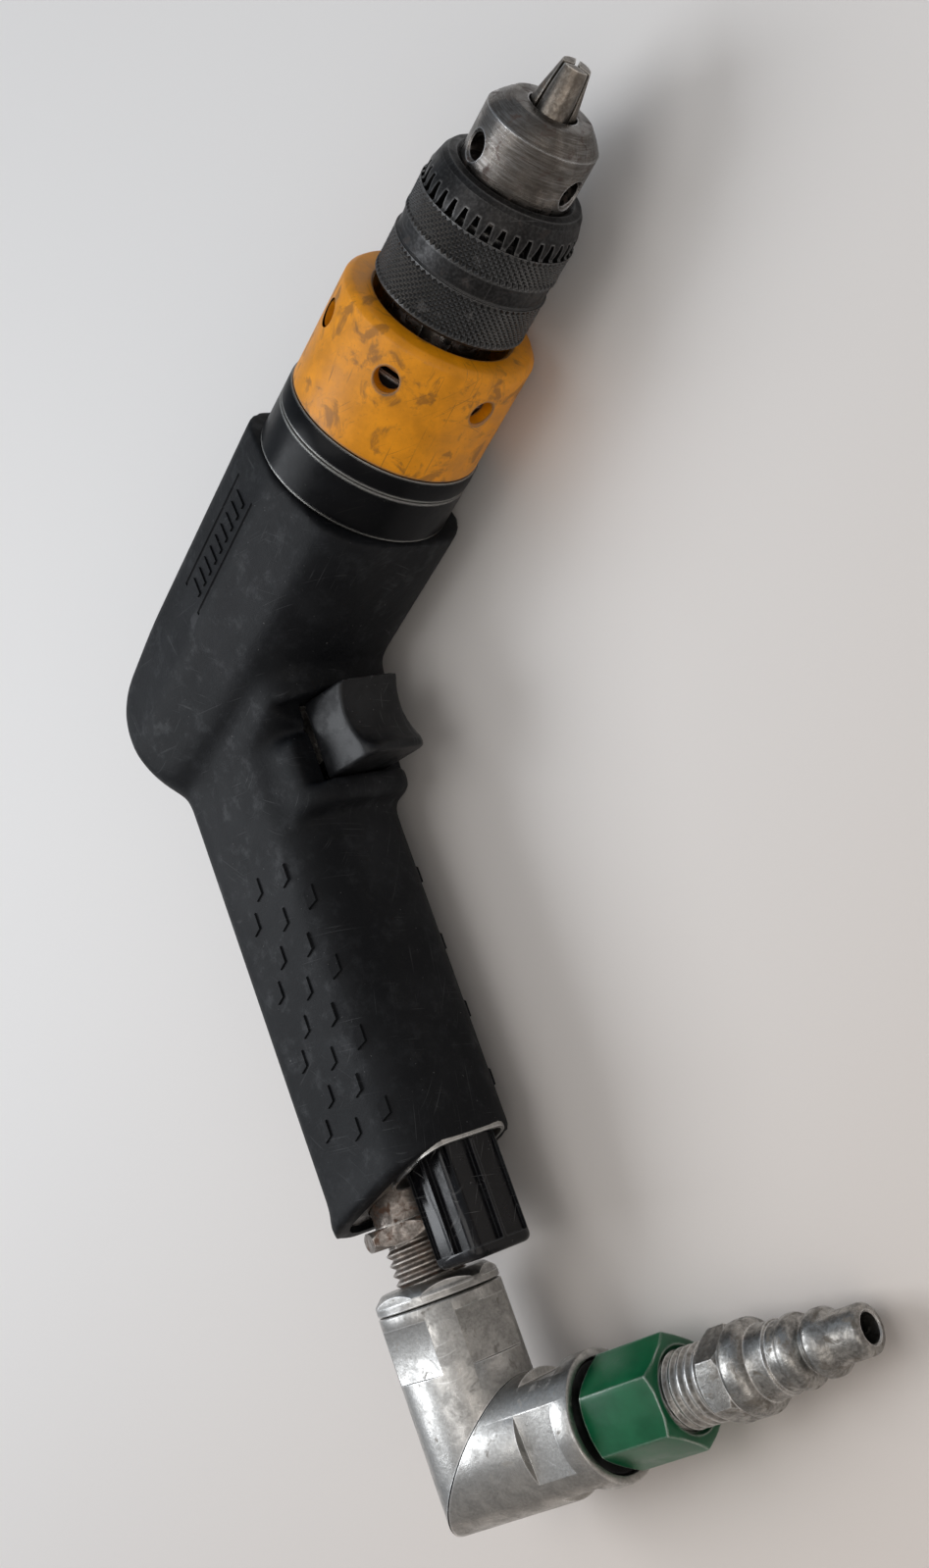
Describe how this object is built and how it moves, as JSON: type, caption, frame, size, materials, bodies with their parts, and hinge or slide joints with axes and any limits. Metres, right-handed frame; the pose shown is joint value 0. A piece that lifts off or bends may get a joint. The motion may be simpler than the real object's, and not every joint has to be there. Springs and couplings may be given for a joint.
{
  "type": "pneumatic pistol-grip drill",
  "caption": "Air drill with a slanted rubber pistol grip, keyed three-jaw chuck on a planetary gear head, and a twin-axis swivel air inlet.",
  "frame": {"origin": "centre of the yellow collar's rear rim, on the chuck axis", "axes": "+X forward along the chuck axis, +Z out of the side that faces up as the drill lies on a bench, the grip hangs towards -Y"},
  "size_m": [0.259, 0.2282, 0.0452],
  "materials": {
    "aluminium": "mottled cast aluminium with light oxide",
    "black_paint": "satin black paint with scuffs",
    "cover_rubber": "matte moulded rubber",
    "yellow_paint": "chipped satin yellow paint",
    "seal_rubber": "nitrile rubber",
    "machined_steel": "turned and ground steel",
    "bearing_steel": "polished bearing steel",
    "vane_laminate": "oiled fabric laminate",
    "chuck_nose_steel": "worn bright steel with brown stains",
    "phosphated_steel": "dark phosphated steel with knurled bands",
    "jaw_steel": "worn hardened steel",
    "trigger_plastic": "satin black plastic",
    "valve_nylon": "black nylon",
    "brass": "dull brass",
    "deflector_plastic": "glossy black plastic",
    "felt": "grey-brown silencer felt",
    "rusty_steel": "steel with light rust",
    "green_finish": "worn green finish",
    "zinc_plate": "dull zinc plate"
  },
  "bodies": {
    "housing": {"motor_housing": "aluminium", "gear_case": "black_paint", "grip_cover": "cover_rubber", "front_collar": "yellow_paint", "collar_seal": "seal_rubber", "motor_cylinder": "machined_steel", "rear_plate": "machined_steel", "front_plate": "machined_steel", "rear_bearing": "bearing_steel", "front_bearing": "bearing_steel", "ring_gear": "machined_steel", "spindle_bearing_rear": "bearing_steel", "spindle_bearing_front": "bearing_steel", "bearing_spacer": "machined_steel", "valve_seat": "brass", "valve_spring": "machined_steel", "valve_plug": "machined_steel", "exhaust_deflector": "deflector_plastic", "exhaust_felt": "felt", "inlet_bushing": "rusty_steel", "inlet_strainer": "brass", "swivel_stud": "rusty_steel"},
    "rotor": {"rotor": "machined_steel", "vane_1": "vane_laminate", "vane_2": "vane_laminate", "vane_3": "vane_laminate", "vane_4": "vane_laminate", "vane_5": "vane_laminate"},
    "carrier": {"stage1_carrier": "machined_steel"},
    "spindle": {"spindle": "machined_steel", "chuck_body": "chuck_nose_steel"},
    "sleeve": {"chuck_sleeve": "phosphated_steel", "chuck_nut": "machined_steel"},
    "trigger": {"trigger": "trigger_plastic", "trigger_stem": "machined_steel", "throttle_valve": "valve_nylon"},
    "swivel": {"swivel_collar": "aluminium", "swivel_upper": "aluminium", "upper_seal": "seal_rubber", "oblique_seal": "seal_rubber"},
    "outlet": {"swivel_lower": "aluminium", "swivel_pin": "machined_steel", "outlet_seal": "seal_rubber", "adapter": "green_finish", "air_plug": "zinc_plate"},
    "planet1_1": {"stage1_planet_1": "machined_steel"},
    "planet1_2": {"stage1_planet_2": "machined_steel"},
    "planet1_3": {"stage1_planet_3": "machined_steel"},
    "planet2_1": {"stage2_planet_1": "machined_steel"},
    "planet2_2": {"stage2_planet_2": "machined_steel"},
    "planet2_3": {"stage2_planet_3": "machined_steel"},
    "jaw_1": {"chuck_jaw_1": "jaw_steel"},
    "jaw_2": {"chuck_jaw_2": "jaw_steel"},
    "jaw_3": {"chuck_jaw_3": "jaw_steel"}
  },
  "joints": [
    {"name": "spindle_spin", "type": "hinge", "parent": "housing", "child": "spindle", "pos_m": [0, 0, 0], "axis": [1, 0, 0], "continuous": true},
    {"name": "carrier_spin", "type": "hinge", "parent": "housing", "child": "carrier", "pos_m": [-0.03, 0, 0], "axis": [1, 0, 0], "continuous": true},
    {"name": "rotor_spin", "type": "hinge", "parent": "housing", "child": "rotor", "pos_m": [-0.07, 0, 0], "axis": [1, 0, 0], "continuous": true},
    {"name": "planet1_1_spin", "type": "hinge", "parent": "carrier", "child": "planet1_1", "pos_m": [-0.038, 0.009, 0], "axis": [1, 0, 0], "continuous": true},
    {"name": "planet1_2_spin", "type": "hinge", "parent": "carrier", "child": "planet1_2", "pos_m": [-0.038, -0.0045, 0.00779], "axis": [1, 0, 0], "continuous": true},
    {"name": "planet1_3_spin", "type": "hinge", "parent": "carrier", "child": "planet1_3", "pos_m": [-0.038, -0.0045, -0.00779], "axis": [1, 0, 0], "continuous": true},
    {"name": "planet2_1_spin", "type": "hinge", "parent": "spindle", "child": "planet2_1", "pos_m": [-0.026, 0.009, 0], "axis": [1, 0, 0], "continuous": true},
    {"name": "planet2_2_spin", "type": "hinge", "parent": "spindle", "child": "planet2_2", "pos_m": [-0.026, -0.0045, 0.00779], "axis": [1, 0, 0], "continuous": true},
    {"name": "planet2_3_spin", "type": "hinge", "parent": "spindle", "child": "planet2_3", "pos_m": [-0.026, -0.0045, -0.00779], "axis": [1, 0, 0], "continuous": true},
    {"name": "sleeve_turn", "type": "hinge", "parent": "spindle", "child": "sleeve", "pos_m": [0.045, 0, 0], "axis": [1, 0, 0], "range_deg": [0, 2521]},
    {"name": "jaw_1_slide", "type": "slide", "parent": "spindle", "child": "jaw_1", "axis": [-0.9744, 0.2177, 0.0567], "range_m": [0, 0.02]},
    {"name": "jaw_2_slide", "type": "slide", "parent": "spindle", "child": "jaw_2", "axis": [-0.9744, -0.158, 0.1602], "range_m": [0, 0.02]},
    {"name": "jaw_3_slide", "type": "slide", "parent": "spindle", "child": "jaw_3", "axis": [-0.9744, -0.0597, -0.2169], "range_m": [0, 0.02]},
    {"name": "trigger_pull", "type": "slide", "parent": "housing", "child": "trigger", "axis": [-0.9232, 0.3843, 0], "range_m": [0, 0.006], "stiffness_N_per_m": 900, "springref_m": -0.012, "deforming": ["valve_spring"]},
    {"name": "swivel_turn", "type": "hinge", "parent": "housing", "child": "swivel", "pos_m": [-0.15476, -0.1671, 0], "axis": [-0.3843, -0.9232, 0], "continuous": true},
    {"name": "outlet_turn", "type": "hinge", "parent": "swivel", "child": "outlet", "pos_m": [-0.15476, -0.1671, 0], "axis": [0.3986, -0.9115, -0.101], "continuous": true}
  ],
  "couplings": [
    {"joint": "carrier_spin", "follows": "spindle_spin", "ratio": 5},
    {"joint": "rotor_spin", "follows": "spindle_spin", "ratio": 25},
    {"joint": "planet1_1_spin", "follows": "spindle_spin", "ratio": -13.333},
    {"joint": "planet1_2_spin", "follows": "spindle_spin", "ratio": -13.333},
    {"joint": "planet1_3_spin", "follows": "spindle_spin", "ratio": -13.333},
    {"joint": "planet2_1_spin", "follows": "spindle_spin", "ratio": -2.6667},
    {"joint": "planet2_2_spin", "follows": "spindle_spin", "ratio": -2.6667},
    {"joint": "planet2_3_spin", "follows": "spindle_spin", "ratio": -2.6667},
    {"joint": "sleeve_turn", "follows": "jaw_1_slide", "rad_per_m": 2199.1},
    {"joint": "jaw_2_slide", "follows": "jaw_1_slide", "ratio": 1},
    {"joint": "jaw_3_slide", "follows": "jaw_1_slide", "ratio": 1}
  ]
}
